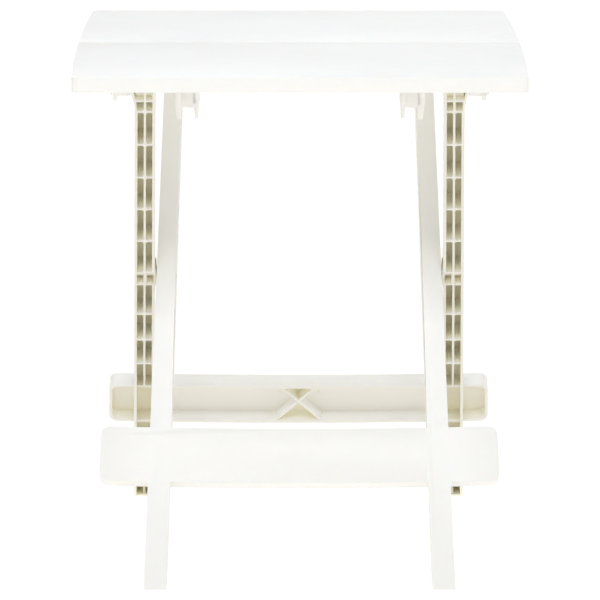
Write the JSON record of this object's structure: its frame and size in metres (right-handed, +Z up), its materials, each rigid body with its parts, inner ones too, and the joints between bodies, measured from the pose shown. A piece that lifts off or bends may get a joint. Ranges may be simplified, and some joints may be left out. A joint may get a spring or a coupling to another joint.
{
  "type": "folding picnic table",
  "caption": "Small folding picnic table: flat moulded tabletop on two crossed H-shaped leg frames with low crossbars, scissor pivots, a front hinge and rear catches.",
  "frame": {"origin": "on the floor under the centre of the tabletop, the bottom centre of the bounding box", "axes": "+Z up, +X across the table along the crossbars, +Y towards the back; the front hinge of the tabletop is on the -Y side"},
  "size_m": [0.4306, 0.45, 0.5],
  "materials": {
    "tabletop_plastic": "white moulded resin with a fine embossed wood grain on the top face",
    "rear_frame_plastic": "white moulded resin, smooth outer face, open ribbed inner face",
    "front_frame_plastic": "white moulded resin, smooth outer face, open ribbed inner face",
    "pin_plastic": "white moulded resin, slightly glossier"
  },
  "bodies": {
    "rear_frame": {"rear_leg_frame": "rear_frame_plastic", "scissor_pin_left": "pin_plastic", "scissor_pin_right": "pin_plastic"},
    "front_frame": {"front_leg_frame": "front_frame_plastic"},
    "top": {"tabletop": "tabletop_plastic", "hinge_pin_left": "pin_plastic", "hinge_pin_right": "pin_plastic"}
  },
  "joints": [
    {"name": "scissor", "type": "hinge", "parent": "rear_frame", "child": "front_frame", "pos_m": [0, 0, 0.2735], "axis": [1, 0, 0], "range_deg": [0, 58]},
    {"name": "top_hinge", "type": "hinge", "parent": "rear_frame", "child": "top", "pos_m": [0, -0.12893, 0.475], "axis": [1, 0, 0], "range_deg": [0, 118]}
  ]
}
